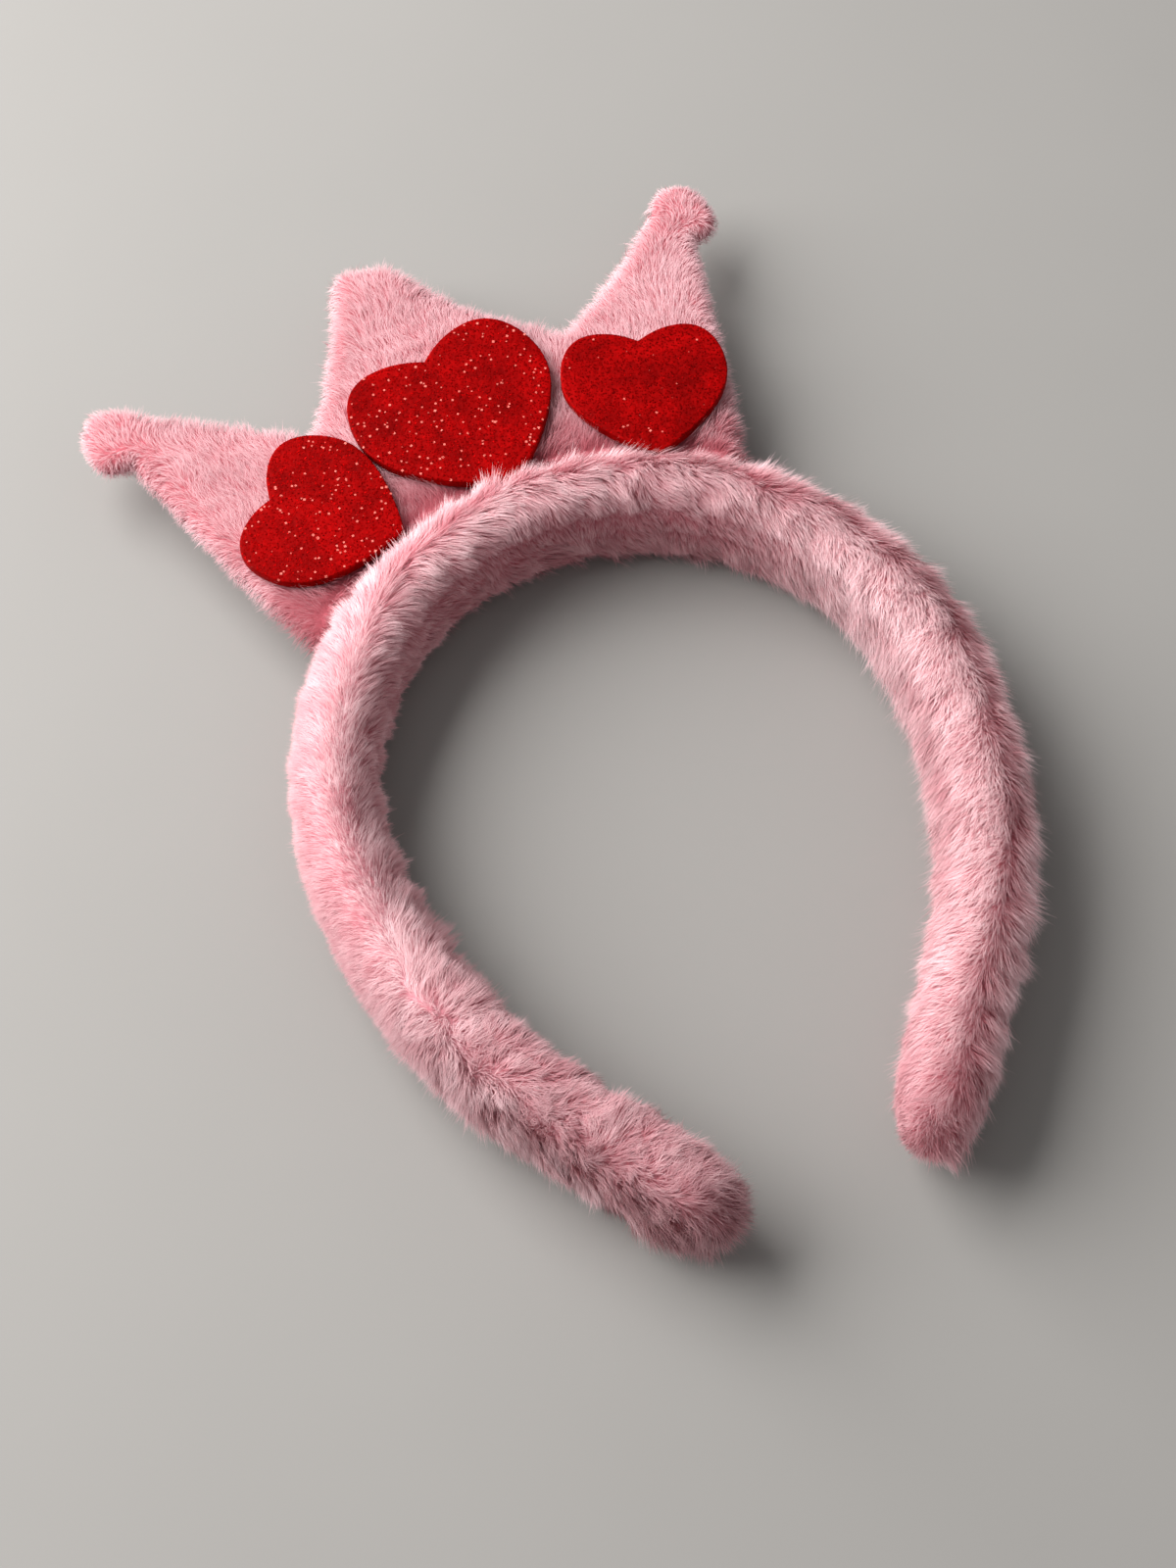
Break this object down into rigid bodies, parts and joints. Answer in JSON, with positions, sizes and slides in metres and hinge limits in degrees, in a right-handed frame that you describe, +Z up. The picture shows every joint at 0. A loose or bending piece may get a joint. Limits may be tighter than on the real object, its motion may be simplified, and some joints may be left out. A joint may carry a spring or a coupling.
{
  "type": "heart headband",
  "caption": "Plush open-loop headband with a padded pointed crown sewn to its arch and glitter foam hearts glued on the crown's front; worn over the top of the head.",
  "frame": {"origin": "under the middle of the whole object's box, on the surface that it lies on", "axes": "+Y from the loop's open end to the crown, +X to the right seen with the crown up, +Z up from the band's back edge to its front edge"},
  "size_m": [0.1632, 0.239, 0.0274],
  "materials": {
    "plush": "soft pink faux fur with a dense pile",
    "glitter_foam": "red glitter-coated foam sheet"
  },
  "bodies": {
    "root": {"band": "plush", "crown": "plush", "heart_left": "glitter_foam", "heart_center": "glitter_foam", "heart_right": "glitter_foam"}
  },
  "joints": []
}
